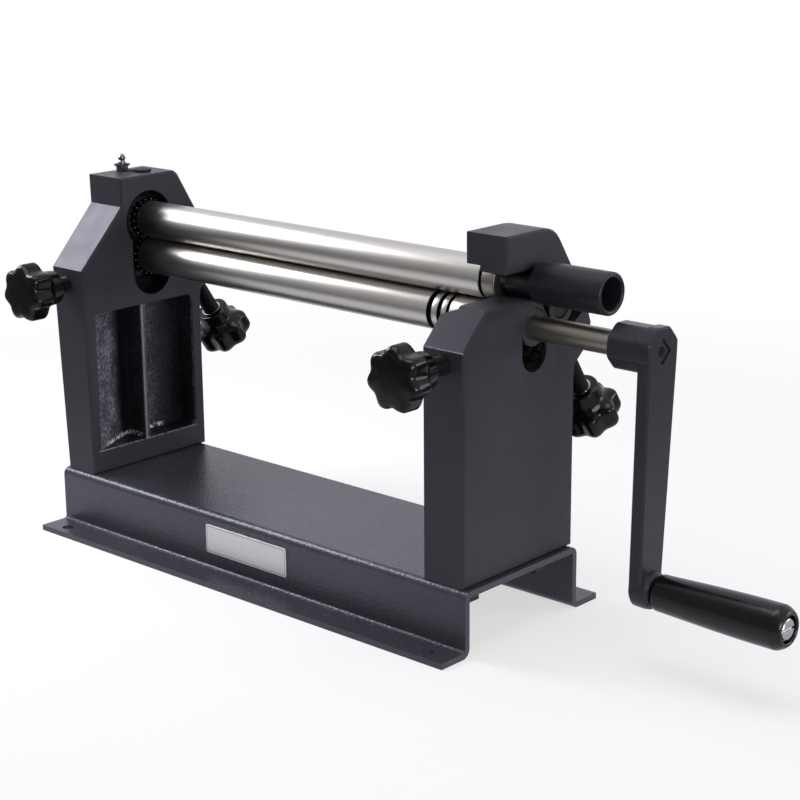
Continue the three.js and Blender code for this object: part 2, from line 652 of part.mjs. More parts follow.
function knobSolid(origin, direction) {
  const n = LOBES * 6;
  const pos = [];
  for (const [t, r, lobe] of knobRings) {
    for (let i = 0; i < n; i += 1) {
      const a = 2 * Math.PI * i / n;
      const rr = r + LOBE_DEPTH * lobe * Math.cos(LOBES * a);
      pos.push(rr * Math.cos(a), t, -rr * Math.sin(a));
    }
  }
  const low = pos.length / 3;
  pos.push(0, 0, 0);
  pos.push(0, KNOB_LEN + 0.8, 0);
  const idx = [];
  for (let k = 0; k < knobRings.length - 1; k += 1) {
    for (let i = 0; i < n; i += 1) {
      const a = k * n + i;
      const b = k * n + (i + 1) % n;
      idx.push(a, b, b + n, a, b + n, a + n);
    }
  }
  const top = (knobRings.length - 1) * n;
  for (let i = 0; i < n; i += 1) {
    const j = (i + 1) % n;
    idx.push(low, j, i, low + 1, top + i, top + j);
  }
  const g = new THREE.BufferGeometry();
  g.setAttribute('position', new THREE.Float32BufferAttribute(pos, 3));
  g.setIndex(idx);
  const turn = new THREE.Quaternion().setFromUnitVectors(
    new THREE.Vector3(0, 1, 0), new THREE.Vector3(...direction).normalize());
  g.applyQuaternion(turn);
  g.translate(...origin);
  const bore = rod(INSERT_D / 2 + 0.05, -1, 22.1, origin, direction, 32);
  return toSolid(g).subtract(bore);
}

function knobSet(parent, name, origin, direction, screwFrom, screwTo) {
  add(parent, `${name}_knob`, knobSolid(origin, direction), PLASTIC);
  const insert = rod(INSERT_D / 2, -0.5, 22, origin, direction, 32)
    .subtract(rod(SCREW_D / 2 + 0.05, -1, 23, origin, direction, 32));
  add(parent, `${name}_knob_insert`, insert, BRIGHT);
  const screw = turned([
    [screwFrom, SCREW_D / 2 - 0.9],
    [screwFrom + 0.9, SCREW_D / 2],
    [screwTo, SCREW_D / 2],
  ], origin, direction, 32);
  add(parent, `${name}_screw`, screw, DARK);
}

// Release sleeve: neck in the frame's slot, conical shoulder, open tube set above the neck
function releaseSleeve() {
  const end = RIGHT_OUT + SLEEVE_OUT;
  const n = NECK_D / 2;
  const s = SLEEVE_D / 2;
  const onNeck = [0, ROLL_Y, UP_Z];
  const onTube = [0, ROLL_Y, UP_Z + SLEEVE_RISE];
  const along = [1, 0, 0];
  const neck = turned([
    [neckX0, n - 0.4],
    [neckX0 + 0.4, n],
    [RIGHT_OUT + SHOULDER_GAP + 1, n],
  ], onNeck, along, 36);
  const tubeFrom = RIGHT_OUT + SHOULDER_GAP + SHOULDER_L;
  const shoulder = wasm.Manifold.hull([
    rod(n, RIGHT_OUT + SHOULDER_GAP, RIGHT_OUT + SHOULDER_GAP + 1, onNeck, along, 36),
    rod(s, tubeFrom, tubeFrom + 1, onTube, along, 36),
  ]);
  const tube = turned([
    [tubeFrom, s],
    [end - 0.8, s],
    [end, s - 0.8],
  ], onTube, along, 36);
  const seat = rod(5.5 + RUN, neckX0 - 1, RIGHT_OUT + 17, onNeck, along, 36);
  const bore = turned([
    [RIGHT_OUT + 13, SLEEVE_BORE_D / 2 - 2],
    [RIGHT_OUT + 15, SLEEVE_BORE_D / 2],
    [end - 0.8, SLEEVE_BORE_D / 2],
    [end, SLEEVE_BORE_D / 2 + 0.8],
    [end + 1, SLEEVE_BORE_D / 2 + 0.8],
  ], onTube, along, 36);
  return neck.add(shoulder).add(tube).subtract(seat).subtract(bore);
}

// Crank
const lean = THREE.MathUtils.degToRad(CRANK_LEAN);
const GRIP_Y = ROLL_Y - CRANK_R * Math.sin(lean);
const GRIP_Z = LOW_Z - CRANK_R * Math.cos(lean);
const armX1 = shaftEnd + HUB_L;
const bossEnd = armX1 + BOSS_OUT;
const gripX0 = bossEnd + 2;

// An eight-sided outline with soft corners, one flat square to the arm
function softOctagon(cy, cz, across) {
  const pts = [];
  const centre = (across / 2 - HUB_CORNER_R) / Math.cos(Math.PI / 8);
  for (let i = 0; i < 8; i += 1) {
    const flat = 90 - CRANK_LEAN + 45 * i;
    const a = THREE.MathUtils.degToRad(flat + 22.5);
    pts.push(...arc(cy + centre * Math.cos(a), cz + centre * Math.sin(a), HUB_CORNER_R, flat, flat + 45, 2));
  }
  return pts;
}

function crankArm() {
  const hub = plateX(softOctagon(ROLL_Y, LOW_Z, HUB_D), shaftEnd, armX1, EDGE);
  const arm = wasm.Manifold.hull([
    plateX(softOctagon(ROLL_Y + ARM_HEAD_BACK, LOW_Z, HUB_D + 1), armX1 - ARM_T, armX1, EDGE),
    plateX(arc(GRIP_Y, GRIP_Z, ARM_END_W / 2, 0, 345, 23), armX1 - ARM_T, armX1, EDGE),
  ]);
  const boss = turned([
    [armX1 - ARM_T - 0.5, BOSS_D / 2 - 2.4],
    [armX1 - ARM_T + 1.5, BOSS_D / 2 - 0.3],
    [armX1 - 1, BOSS_D / 2],
    [bossEnd - 2, BOSS_D / 2 - 0.6],
    [bossEnd, BOSS_D / 2 - 2.4],
  ], [0, GRIP_Y, GRIP_Z], [1, 0, 0], 32);
  const mouth = rod(JOURNAL_D / 2 + 0.1, shaftEnd - 1, shaftEnd + 2, [0, ROLL_Y, LOW_Z], [1, 0, 0], 36);
  return hub.add(arm).add(boss)
    .subtract(mouth)
    .subtract(squareBar(SQUARE + 0.2, shaftEnd + 1, armX1 + 1))
    .subtract(rod(4.55, armX1 - 8, bossEnd + 1, [0, GRIP_Y, GRIP_Z], [1, 0, 0], 24));
}

function crankGrip() {
  const end = gripX0 + GRIP_L;
  const r0 = GRIP_ROOT_D / 2;
  const r1 = GRIP_D / 2;
  const body = turned([
    [gripX0, r0 - 0.8],
    [gripX0 + 0.8, r0],
    [gripX0 + 24, r0 + (r1 - r0) * 0.42],
    [gripX0 + 48, r0 + (r1 - r0) * 0.8],
    [gripX0 + 66, r1],
    [end - 7, r1 - 0.2],
    [end - 3, r1 - 1.3],
    [end - 0.8, r1 - 2.9],
    [end, r1 - 3.6],
  ], [0, GRIP_Y, GRIP_Z], [1, 0, 0], 32);
  const bore = turned([
    [gripX0 - 1, 4.6],
    [end - 4, 4.6],
    [end - 4, 8],
    [end + 1, 8],
  ], [0, GRIP_Y, GRIP_Z], [1, 0, 0], 32);
  return body.subtract(bore);
}

function gripSpindle() {
  const end = gripX0 + GRIP_L;
  const body = turned([
    [armX1 - 7.5, 4.5],
    [end - 3.9, 4.5],
    [end - 3.9, 6.3],
    [end - 1.4, 6.3],
    [end - 0.8, 5.6],
  ], [0, GRIP_Y, GRIP_Z], [1, 0, 0], 24);
  return body.subtract(box(end - 2.2, end, GRIP_Y - 8, GRIP_Y + 8, GRIP_Z - 0.8, GRIP_Z + 0.8));
}

// Grease nipple, and the cap that hangs on it by a strap
function greaseNipple() {
  const at = [nippleX, nippleY, TOP_Z];
  const hex = rod(4.5, 0, 3.8, at, [0, 0, 1], 6);
  const stem = turned([
    [-6.8, 2.4],
    [-6, 3],
    [3.6, 3],
    [4, 2.5],
    [6.6, 2.5],
    [7.6, 1.8],
    [8.6, 2.6],
    [9.8, 2.6],
    [11.6, 1.6],
    [12.2, 0.9],
  ], at, [0, 0, 1], 16);
  return hex.add(stem);
}

function dustCap() {
  const at = [nippleX, nippleY, TOP_Z];
  const ring = turned([[4, 5.5], [5, 5.5]], at, [0, 0, 1], 20)
    .subtract(rod(2.65, 3, 6, at, [0, 0, 1], 20));
  const cx = nippleX + 12.6;
  const cy = nippleY + 8;
  const disc = turned([
    [0.3, 5.6],
    [0.6, 6],
    [1.5, 6],
    [1.9, 5.5],
  ], [cx, cy, TOP_Z], [0, 0, 1], 24);
  const path = new THREE.CatmullRomCurve3([
    new THREE.Vector3(nippleX + 3.4, nippleY - 3.2, TOP_Z + 4.5),
    new THREE.Vector3(nippleX + 6, nippleY - 4.4, TOP_Z + 4.3),
    new THREE.Vector3(nippleX + 8, nippleY - 3.6, TOP_Z + 2),
    new THREE.Vector3(nippleX + 9.6, nippleY - 0.4, TOP_Z + 1.1),
    new THREE.Vector3(nippleX + 11, nippleY + 4.4, TOP_Z + 1.2),
  ]);
  const section = new THREE.Shape([
    new THREE.Vector2(-0.45, -0.8),
    new THREE.Vector2(0.45, -0.8),
    new THREE.Vector2(0.45, 0.8),
    new THREE.Vector2(-0.45, 0.8),
  ]);
  const strap = toSolid(new THREE.ExtrudeGeometry(section, { steps: 9, extrudePath: path }));
  return ring.add(disc).add(strap);
}

function frameBolt(x, y) {
  const under = BASE_H - SHEET_T;
  const head = rod(BOLT_HEAD_R, under - BOLT_HEAD_H, under, [x, y, 0], [0, 0, 1], 6);
  return head.add(rod(BOLT_D / 2, under - 1, BASE_H + BOLT_REACH, [x, y, 0], [0, 0, 1], 24));
}

// Fixed pieces
const fixed = subGroup('frame_group');
add(fixed, 'base_channel', baseChannel(), PAINT);
add(fixed, 'left_frame', leftFrame(), PAINT);
add(fixed, 'right_frame', rightFrame(), PAINT);
for (const [side, x] of Object.entries(boltXs)) {
  boltYs.forEach((y, i) => {
    add(fixed, `frame_bolt_${side}_${i === 0 ? 'front' : 'rear'}`, frameBolt(x, y), DARK);
  });
}
const plateOutline = roundRect(PLATE_LEFT, PLATE_RIGHT, PLATE_BOTTOM, PLATE_TOP, PLATE_CORNER_R);
const plate = plateX(plateOutline, HALF_W, HALF_W + PLATE_T).rotate([0, 0, -90]);
add(fixed, 'name_plate', plate, ALLOY);
add(fixed, 'grease_nipple', greaseNipple(), BRIGHT);
add(fixed, 'nipple_dust_cap', dustCap(), RUBBER);

// Lower roll, its bearings and the crank
const lower = subGroup('lower_group');
add(lower, 'lower_left_block', lowerLeftBlock(), DARK);
add(lower, 'lower_right_bush',
  ringX(RIGHT_IN + 0.4, RIGHT_OUT - 0.2, ROLL_Y, LOW_Z, BUSH_D / 2, JOURNAL_D / 2 + RUN), STEEL);
add(lower, 'lower_roll', lowerRoll(), STEEL);
add(lower, 'lower_gear', gear(LOW_Z, 90), DARK);
add(lower, 'crank_arm', crankArm(), PAINT);
add(lower, 'grip_spindle', gripSpindle(), BRIGHT);
add(lower, 'crank_grip', crankGrip(), PLASTIC);

// Upper roll, its rocker bearing and the release sleeve
const upper = subGroup('upper_group');
add(upper, 'upper_left_rocker', rockerBall(), DARK);
add(upper, 'upper_roll', upperRoll(), STEEL);
add(upper, 'upper_gear', gear(UP_Z, 270 + 180 / TEETH), DARK);
add(upper, 'release_sleeve', releaseSleeve(), DARK);

// Rear roll and its blocks
const rear = subGroup('rear_group');
add(rear, 'rear_roll', rearRoll(), STEEL);
add(rear, 'rear_left_block', rearBlock(leftRearHalf, leftRearUp, LEFT_OUT + 0.5, leftBlockX1, leftBushR + 0.05), DARK);
add(rear, 'rear_left_bush',
  ringX(LEFT_OUT + 0.5, leftBlockX1, REAR_Y, REAR_Z, leftBushR, JOURNAL_D / 2 + RUN), STEEL);
add(rear, 'rear_right_block',
  rearBlock(rightRearHalf, rightRearUp, reliefFace(), RIGHT_OUT - 4, rightBushR + 0.05), DARK);
add(rear, 'rear_right_bush',
  ringX(reliefFace(), RIGHT_OUT - 0.3, REAR_Y, REAR_Z, rightBushR, JOURNAL_D / 2 + RUN), STEEL);

function reliefFace() {
  return RIGHT_IN + 0.6;
}

// Adjusters
const adjusters = subGroup('adjuster_group');
for (const [side, x] of [['left', LEFT_SCREW_X], ['right', RIGHT_SCREW_X]]) {
  const frontKnobY = -FRAME_FRONT - FRONT_NECK[side];
  add(adjusters, `${side}_wedge`, wedge(x), DARK);
  knobSet(adjusters, `front_${side}`, [x, frontKnobY, FRONT_Z], [0, -1, 0], frontKnobY - wedgeBack + 0.3, 21.5);
  const up = side === 'left' ? leftRearUp : rightRearUp;
  const along = [0, SCREW_DY, SCREW_DZ];
  const at = [x, REAR_Y + SCREW_DY * REAR_KNOB_AT, REAR_Z + SCREW_DZ * REAR_KNOB_AT];
  knobSet(adjusters, `rear_${side}`, at, along, up + 0.3 - REAR_KNOB_AT, 21.5);
}

export default group;
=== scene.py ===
import json
import math

import bmesh
import bpy
import numpy as np
from mathutils import Matrix, Vector


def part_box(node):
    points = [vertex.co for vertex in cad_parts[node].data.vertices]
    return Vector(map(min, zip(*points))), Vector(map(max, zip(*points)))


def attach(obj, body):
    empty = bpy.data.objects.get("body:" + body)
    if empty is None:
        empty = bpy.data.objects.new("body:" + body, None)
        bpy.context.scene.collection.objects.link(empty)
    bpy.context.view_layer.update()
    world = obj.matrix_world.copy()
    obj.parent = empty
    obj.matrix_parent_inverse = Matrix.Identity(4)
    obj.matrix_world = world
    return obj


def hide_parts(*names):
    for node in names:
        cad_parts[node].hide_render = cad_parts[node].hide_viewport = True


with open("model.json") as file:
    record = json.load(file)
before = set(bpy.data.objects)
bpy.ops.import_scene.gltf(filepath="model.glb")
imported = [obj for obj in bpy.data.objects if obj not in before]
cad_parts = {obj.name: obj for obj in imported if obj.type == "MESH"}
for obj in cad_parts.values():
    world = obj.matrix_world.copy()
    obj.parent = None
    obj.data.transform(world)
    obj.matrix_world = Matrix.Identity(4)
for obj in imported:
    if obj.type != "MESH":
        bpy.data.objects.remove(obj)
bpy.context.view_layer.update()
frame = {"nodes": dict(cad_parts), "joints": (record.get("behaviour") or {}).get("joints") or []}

MM = 0.001
NODES = frame["nodes"]
JOINTS = {j["name"]: j for j in frame["joints"]}


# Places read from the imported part

def middle(node):
    """Centre of a node's box."""
    lo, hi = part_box(node)
    return [(a + b) / 2 for a, b in zip(lo, hi)]


def mm(length):
    """A length or place in metres, in millimetres."""
    return length / MM


def corners(node):
    """The points of a node's mesh, one row each."""
    mesh = NODES[node].data
    places = np.empty(len(mesh.vertices) * 3, np.float32)
    mesh.vertices.foreach_get("co", places)
    return places.reshape(-1, 3)


_, ROLL_Y, UP_Z = middle("upper_roll")
_, _, LOW_Z = middle("lower_roll")
_, REAR_Y, REAR_Z = middle("rear_roll")
_, MID_Y, _ = middle("base_channel")
BASE_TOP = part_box("base_channel")[1].z
LEFT_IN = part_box("left_frame")[1].x
RIGHT_IN, RIGHT_OUT = [corner.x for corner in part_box("right_frame")]
DOWN_SCREW = -Vector(JOINTS["rear_left_turn"]["axis"]).normalized()


# Camera: fitted to the photograph's straight edges

AZIMUTH, ELEVATION, TILT = 42.236, 15.666, -0.483
AIM = [87.9 * MM, MID_Y, 129.87 * MM]
DISTANCE = 1.20197
FOCAL_PIXELS, PICTURE_PIXELS = 1914.6, 800
SENSOR = 36


def look_axes():
    """The camera's right, up and backward directions."""
    a, e, r = np.radians([AZIMUTH, ELEVATION, TILT])
    back = np.array([np.sin(a) * np.cos(e), -np.cos(a) * np.cos(e), np.sin(e)])
    right = np.cross([0, 0, 1], back)
    right /= np.linalg.norm(right)
    up = np.cross(back, right)
    return np.cos(r) * right + np.sin(r) * up, -np.sin(r) * right + np.cos(r) * up, back


def camera():
    """Stands the camera back from its aim, along its own axis."""
    right, up, back = look_axes()
    data = bpy.data.cameras.new("camera")
    data.sensor_width = SENSOR
    data.lens = FOCAL_PIXELS / PICTURE_PIXELS * SENSOR
    data.clip_end = 50
    eye = bpy.data.objects.new("camera", data)
    bpy.context.scene.collection.objects.link(eye)
    turn = np.eye(4)
    turn[:3, 0], turn[:3, 1], turn[:3, 2] = right, up, back
    turn[:3, 3] = np.array(AIM) + back * DISTANCE
    eye.matrix_world = Matrix(turn.tolist())
    bpy.context.scene.camera = eye


camera()


# Shader helpers

class Val:
    """A shader socket in a finish: Python arithmetic on it adds Math nodes."""

    def __init__(self, finish, socket):
        self.finish, self.socket = finish, socket

    def math(self, operation, *others):
        return self.finish.math(operation, self, *others)

    def __add__(self, other):
        return self.math("ADD", other)

    def __sub__(self, other):
        return self.math("SUBTRACT", other)

    def __mul__(self, other):
        return self.math("MULTIPLY", other)

    def __pow__(self, other):
        return self.math("POWER", other)

    def __rsub__(self, other):
        return self.finish.math("SUBTRACT", other, self)

    __radd__ = __add__
    __rmul__ = __mul__

    def below(self, edge, soft):
        """1 under the edge, 0 over it, over a soft width."""
        return self.finish.node("ShaderNodeMapRange", {"interpolation_type": "SMOOTHSTEP"},
                                {0: self, 1: edge - soft, 2: edge + soft, 3: 1.0, 4: 0.0})

    def above(self, edge, soft):
        """0 under the edge, 1 over it."""
        return 1 - self.below(edge, soft)

    def within(self, low, high, soft, high_soft=None):
        """1 between two edges, 0 outside them."""
        return self.above(low, soft) * self.below(high, high_soft or soft)


class Finish:
    """A procedural look built from shader nodes: a new material's, or the world's."""

    def __init__(self, name, kind="materials", coordinates="Object"):
        self.owner = getattr(bpy.data, kind).new(name)
        self.owner.use_nodes = True
        self.tree = self.owner.node_tree
        self.tree.nodes.clear()
        self.place = self.node("ShaderNodeTexCoord", {}, {}, coordinates)

    def node(self, kind, settings, inputs, out=0):
        """Adds a node: its settings first, then the values or links of its sockets."""
        n = self.tree.nodes.new(kind)
        for key, value in settings.items():
            setattr(n, key, value)
        for key, value in inputs.items():
            if isinstance(value, Val):
                self.tree.links.new(value.socket, n.inputs[key])
            else:
                n.inputs[key].default_value = value
        return Val(self, n.outputs[out])

    def math(self, operation, *values):
        return self.node("ShaderNodeMath", {"operation": operation}, dict(enumerate(values)))

    def axes(self):
        """X, Y and Z of the place."""
        split = self.node("ShaderNodeSeparateXYZ", {}, {0: self.place})
        return [Val(self, s) for s in split.socket.node.outputs]

    def stretched(self, scale):
        return self.node("ShaderNodeMapping", {}, {"Vector": self.place, "Scale": scale})

    def noise(self, scale, detail=3, rough=0.5, at=None):
        return self.node("ShaderNodeTexNoise", {}, {
            "Vector": at or self.place, "Scale": scale, "Detail": detail, "Roughness": rough})

    def cells(self, scale, feature="F1"):
        return self.node("ShaderNodeTexVoronoi", {"feature": feature},
                         {"Vector": self.place, "Scale": scale})

    def spread(self, value, low, high, to_low=0.0, to_high=1.0):
        """A value carried from one range to another."""
        return self.node("ShaderNodeMapRange", {},
                         {0: value, 1: low, 2: high, 3: to_low, 4: to_high})

    def clouds(self, scale, detail=3, rough=0.5, at=None):
        """Noise with its middle range spread over 0 to 1."""
        return self.spread(self.noise(scale, detail, rough, at), 0.3, 0.7)

    def tint(self, factor, low, high):
        return self.node("ShaderNodeMix", {"data_type": "RGBA"}, {0: factor, 6: low, 7: high}, 2)

    def relief(self, height, distance, strength, under=None):
        inputs = {"Height": height, "Distance": distance, "Strength": strength}
        if under is not None:
            inputs["Normal"] = under
        return self.node("ShaderNodeBump", {}, inputs)

    def rays(self):
        """Whether a ray is glossy, and whether it is one that shows the white surroundings."""
        camera_ray, glossy, through = [
            self.node("ShaderNodeLightPath", {}, {}, f"Is {kind} Ray")
            for kind in ("Camera", "Glossy", "Transmission")]
        return glossy, camera_ray.math("MAXIMUM", glossy).math("MAXIMUM", through)

    def ends_in(self, skin, kind="ShaderNodeOutputMaterial"):
        out = self.tree.nodes.new(kind)
        self.tree.links.new(skin.socket, out.inputs[0])
        return self.owner

    def done(self, **sockets):
        """Closes the material with a Principled shader; a socket's spaces are underlines."""
        names = {k.replace("_", " "): v for k, v in sockets.items()}
        return self.ends_in(self.node("ShaderNodeBsdfPrincipled", {}, names))


def grey(v, warm=0.0):
    """A grey, warmer by a share."""
    return (v * (1 + warm), v, v * (1 - warm), 1)


def bluish(v, blue):
    """A grey with more blue by a share."""
    return (v, v, v * (1 + blue), 1)


# Finishes

COOL = (0.84, 0.84, 1.0, 1)
# Pale grey for edge lines, partly painted highlight and partly worn paint
PALE_HIGHLIGHT_AND_WEAR = (0.20, 0.20, 0.23, 1)


def powder_coat(name, peel, level=1.0, shine=0.5):
    """Dark grey powder coat: leathery cells about 2 mm wide under a fine grain, with faint
    clouds."""
    f = Finish(name)
    cells = f.cells(620, "SMOOTH_F1") * 0.8 + f.noise(800, 3, 0.6) * 0.6
    colour = f.tint(f.clouds(22, 3, 0.55), (0.031 * level, 0.031 * level, 0.038 * level, 1),
                    (0.037 * level, 0.037 * level, 0.045 * level, 1))
    bump = f.relief(f.noise(2600, 2), 0.02 * MM, 0.35, f.relief(cells, 0.22 * MM, peel))
    rough = f.spread(f.noise(520, 3), 0.3, 0.7, 0.26, 0.32)
    return f.done(Base_Color=colour, Roughness=rough, Normal=bump, Specular_IOR_Level=shine,
                  Specular_Tint=COOL)


POCKET_FLOOR = BASE_TOP + 16 * MM
POCKET_TOP = LOW_Z - 31.5 * MM
POCKET_HALF = 46 * MM
POCKET_DEEP = 17.6 * MM
RIB_FRONT, RIB_REAR = -2.3 * MM, -0.4 * MM


def cast_paint(name, face_x, inward, shade_and_grease, drops=0.0, highlight_and_wear_edge=None):
    """Painted casting: smooth milled faces outside. Inside the pocket an as-cast skin, mottled and
    pale on the sloping floor, partly its own tone and partly painted light; painted shade, near
    black, beside the rib and toward the rear wall; a painted highlight along the rib's crest;
    whitish crumbs above the bottom ledge, and a pale broken line on its lip, partly painted
    highlight and partly worn paint. Depth counts from the frame's inner face. The shade-and-grease
    mask takes the places painted near black, partly as shade and partly as grease, and drops is
    how much of it shows yellow grease. The edge given for the highlight and wear is the front
    face's Y and a height, where a pale line is painted, partly highlight and partly rubbed paint."""
    f = Finish(name)
    x, y, z = f.axes()
    y = y - MID_Y
    depth = (x - face_x) * inward

    # Places in and round the pocket
    hollow = z.within(POCKET_FLOOR - 0.6 * MM, POCKET_TOP, 0.4 * MM) * y.within(
        -POCKET_HALF, POCKET_HALF, 0.3 * MM)
    inside = depth.within(0.9 * MM, POCKET_DEEP, 0.5 * MM, 0.3 * MM) * hollow
    flank = y.within(-18 * MM, RIB_FRONT, 9 * MM, 0.3 * MM)
    rear = y.above(16 * MM, 15 * MM) * depth.above(2 * MM, 1.5 * MM)
    rib = y.within(RIB_FRONT, RIB_REAR, 0.3 * MM, 0.5 * MM) * depth.below(2.2 * MM, 0.5 * MM)
    ledge = z.below(POCKET_FLOOR + 0.25 * MM, 0.15 * MM) * f.noise(140, 4, 0.7).above(0.42, 0.1)
    grain = f.noise(1.0, 5, 0.75, f.stretched((560, 560, 460)))
    # Pale mottled skin on the pocket's floor: partly its own tone, partly painted light
    scab_and_painted_light = f.spread(grain + f.noise(60, 2) * 0.35, 0.62, 0.86) * inside
    specks = f.noise(380, 4, 0.75).above(0.51, 0.04) * inside
    crumbs = specks * depth.above(5 * MM, 3 * MM) * y.below(27 * MM, 3 * MM) * z.within(
        POCKET_FLOOR + 0.3 * MM, POCKET_FLOOR + 3.2 * MM, 0.2 * MM, 1.2 * MM)
    broken = f.noise(300, 3).above(0.44, 0.08) * hollow
    # A pale broken line on the pocket's lip, partly painted highlight and partly worn paint
    lip = broken * depth.within(-0.6 * MM, 1.1 * MM, 0.1 * MM, 0.3 * MM) * z.within(
        POCKET_FLOOR - 0.9 * MM, POCKET_FLOOR + 0.5 * MM, 0.3 * MM, 0.2 * MM)

    # Colours, from the plain paint up
    colour = f.tint(f.clouds(18), (0.022, 0.022, 0.026, 1), (0.027, 0.027, 0.032, 1))
    for mask, shade in ((inside, (0.026, 0.026, 0.032, 1)),
                        (scab_and_painted_light, (0.24, 0.24, 0.28, 1)),
                        # Painted shade: near black beside the rib and toward the rear wall
                        (inside * flank.math("MAXIMUM", rear * 0.9), (0.004, 0.004, 0.005, 1)),
                        (inside * ledge, (0.005, 0.005, 0.006, 1)),
                        # Painted highlight along the rib's crest
                        (inside * rib, (0.38, 0.38, 0.42, 1)),
                        (crumbs, (0.75, 0.75, 0.77, 1)),
                        (lip, PALE_HIGHLIGHT_AND_WEAR)):
        colour = f.tint(mask, colour, shade)
    if highlight_and_wear_edge:
        front_y, edge_z = highlight_and_wear_edge
        # A pale line along the front face's edge, partly painted highlight and partly rubbed paint
        edge_highlight_and_wear = z.within(edge_z - 0.35 * MM, edge_z + 0.35 * MM, 0.12 * MM) * y.below(
            front_y - MID_Y + 0.9 * MM, 0.1 * MM) * f.noise(420, 3).above(0.42, 0.1)
        colour = f.tint(edge_highlight_and_wear, colour, PALE_HIGHLIGHT_AND_WEAR)
    # Painted shade and grease: the masked places go near black, and a share shows yellow grease
    # drops
    shade_and_grease_mask = shade_and_grease(x, y, z, depth)
    shade_and_grease_colour = f.tint(f.noise(330, 4, 0.7).above(0.57, 0.05) * drops, (0.0014, 0.0014, 0.0010, 1),
                 (0.05, 0.045, 0.014, 1))
    colour = f.tint(shade_and_grease_mask, colour, shade_and_grease_colour)

    skin = f.noise(230, 5, 0.65) + f.cells(260) * 0.5
    bump = f.relief(skin * inside, 1.2 * MM, 0.8, f.relief(f.noise(1500, 2), 0.02 * MM, 0.3))
    rough = f.spread(f.noise(60, 3), 0.3, 0.7, 0.34, 0.44) + shade_and_grease_mask * 0.5 + inside * 0.2
    return f.done(Base_Color=colour, Roughness=rough, Normal=bump, Specular_IOR_Level=0.24,
                  Specular_Tint=COOL)


def gear_recess(x, y, z, depth):
    """The left frame's opening round the gears, where painted shade goes near black."""
    return depth.within(0.5 * MM, 14 * MM, 0.3 * MM, 0.5 * MM) * z.within(
        LOW_Z - 30 * MM, UP_Z + 21.5 * MM, 0.5 * MM) * y.within(-14 * MM, 31 * MM, 0.5 * MM)


def bush_slot(x, y, z, depth):
    """The right frame's slot under the lower bush, painted near black, partly as shade and partly
    as grease.
    """
    slot_y, half = ROLL_Y - MID_Y, 12.4 * MM
    slot = y.within(slot_y - half, slot_y + half, 0.2 * MM)
    return x.below(RIGHT_OUT - 1.5 * MM, 0.3 * MM) * depth.above(0.5 * MM, 0.3 * MM) * z.within(
        LOW_Z - 28.5 * MM, LOW_Z + 12 * MM, 0.3 * MM) * slot


def front_edge(node):
    """Y of a casting's front face, and the height where its chamfer starts."""
    places = corners(node)
    front = places[:, 1].min()
    return float(front), float(places[places[:, 1] < front + 0.1 * MM, 2].max())


BAR_R = 12.7


def ground_steel(name, level, axis, shade_from_x, kept=0.62):
    """Ground bar: a smooth warm grey with long faint streaks and a soft haze along it. Grooves,
    deeper than the surface round the axis, get painted shade in near black, and past a place
    along X only a part of the brightness is kept, as painted shade."""
    f = Finish(name)
    x, y, z = f.axes()
    streak = f.clouds(1.0, 4, 0.6, f.stretched((4, 380, 380)))
    haze = f.clouds(1.0, 2, 0.5, f.stretched((14, 60, 60)))
    # Painted shade past a place along X
    past = x.above(shade_from_x, 0.5 * MM)
    dy, dz = y - axis[0], z - axis[1]
    # Painted shade in the grooves
    groove = ((dy * dy + dz * dz) ** 0.5).below((BAR_R - 0.3) * MM, 0.12 * MM) * x.below(
        RIGHT_IN, 0.3 * MM)
    colour = f.tint(streak, (level, level * 0.955, level * 0.88, 1),
                    (level * 0.88, level * 0.84, level * 0.76, 1))
    colour = f.tint(past, colour, (level * kept, level * kept * 0.92, level * kept * 0.76, 1))
    colour = f.tint(groove, colour, grey(0.010))
    rough = f.spread(haze, 0, 1, 0.31, 0.35) + past * 0.06 + groove * 0.25
    return f.done(Base_Color=colour, Metallic=1.0, Roughness=rough)


def dark_steel(name, level, low, high, blue=0.08, shine=0.24):
    """Blackened steel with fine machining marks and oily variation."""
    f = Finish(name)
    marks = f.noise(900, 3, 0.6)
    colour = f.tint(f.clouds(45, 4), bluish(level, blue), bluish(level * 1.6, blue))
    return f.done(Base_Color=colour, Roughness=f.spread(marks, 0.3, 0.7, low, high),
                  Normal=f.relief(marks, 0.02 * MM, 0.4), Specular_IOR_Level=shine)


def plated(name, level=0.42):
    """Bright zinc plate, slightly mottled."""
    f = Finish(name)
    mottle = f.clouds(210)
    colour = f.tint(mottle, grey(level), grey(level * 0.8, 0.02))
    return f.done(Base_Color=colour, Metallic=1.0, Roughness=f.spread(mottle, 0, 1, 0.18, 0.32),
                  Normal=f.relief(f.noise(1200, 2), 0.01 * MM, 0.4))


def moulded(name, level, low, high, shine):
    """Glossy black moulded plastic with faint flow ripples and handling haze."""
    f = Finish(name)
    haze = f.spread(f.noise(160, 4, 0.6), 0.35, 0.7)
    colour = f.tint(haze, grey(level), grey(level * 1.8, -0.05))
    return f.done(Base_Color=colour, Roughness=f.spread(haze, 0, 1, low, high),
                  Normal=f.relief(f.noise(120, 2), 0.10 * MM, 0.35), Specular_IOR_Level=shine)


def rubber(name):
    """Dull black rubber with a dusty variation."""
    f = Finish(name)
    dust = f.clouds(300)
    return f.done(Base_Color=f.tint(dust, grey(0.010), grey(0.020)),
                  Roughness=f.spread(dust, 0, 1, 0.5, 0.65),
                  Normal=f.relief(f.noise(1400, 2), 0.03 * MM, 0.4), Specular_IOR_Level=0.2)


